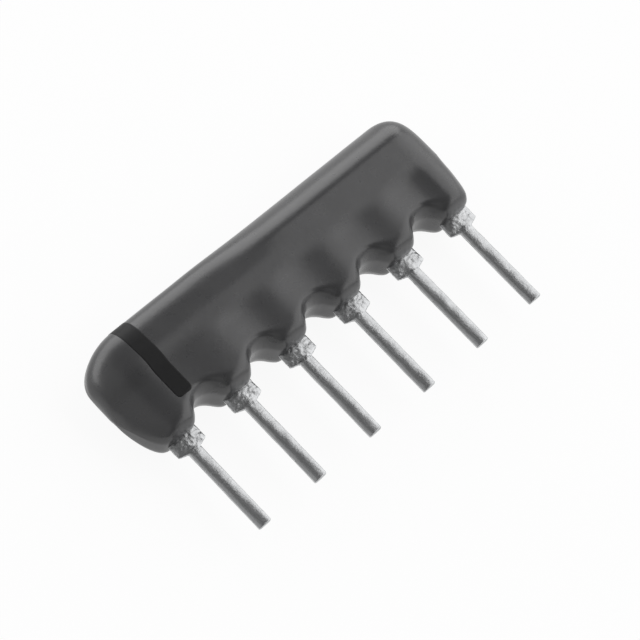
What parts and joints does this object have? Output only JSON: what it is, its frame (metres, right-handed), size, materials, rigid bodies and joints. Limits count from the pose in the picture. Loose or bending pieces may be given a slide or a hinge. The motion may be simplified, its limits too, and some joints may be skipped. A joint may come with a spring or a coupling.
{
  "type": "resistor network",
  "caption": "Single-in-line resistor network: flat dipped body with rounded edges, arched between a row of tinned through-hole leads, with a printed bar beside the first.",
  "frame": {"origin": "on the surface that the part lies on, under the middle of the whole part's box, leads included", "axes": "+X along the lead row from the first lead to the last, +Y from the lead tips to the body's top edge, +Z out of the marked face"},
  "size_m": [0.0152, 0.0082, 0.0023],
  "materials": {
    "coating_epoxy": "satin",
    "marking_ink": "satin",
    "tinned_lead": "dull tin",
    "solder": "satin",
    "alumina": "matt",
    "silver_palladium": "matt fired film",
    "resistor_film": "satin fired film",
    "overglaze_glass": "gloss"
  },
  "bodies": {
    "root": {"coating": "coating_epoxy", "pin_1_bar": "marking_ink", "substrate": "alumina", "bus_conductor": "silver_palladium", "overglaze": "overglaze_glass", "pad_2": "silver_palladium", "pad_3": "silver_palladium", "pad_4": "silver_palladium", "pad_5": "silver_palladium", "pad_6": "silver_palladium", "resistor_1": "resistor_film", "resistor_2": "resistor_film", "resistor_3": "resistor_film", "resistor_4": "resistor_film", "resistor_5": "resistor_film", "solder_1": "solder", "solder_2": "solder", "solder_3": "solder", "solder_4": "solder", "solder_5": "solder", "solder_6": "solder", "lead_1": "tinned_lead", "lead_2": "tinned_lead", "lead_3": "tinned_lead", "lead_4": "tinned_lead", "lead_5": "tinned_lead", "lead_6": "tinned_lead"}
  },
  "joints": []
}
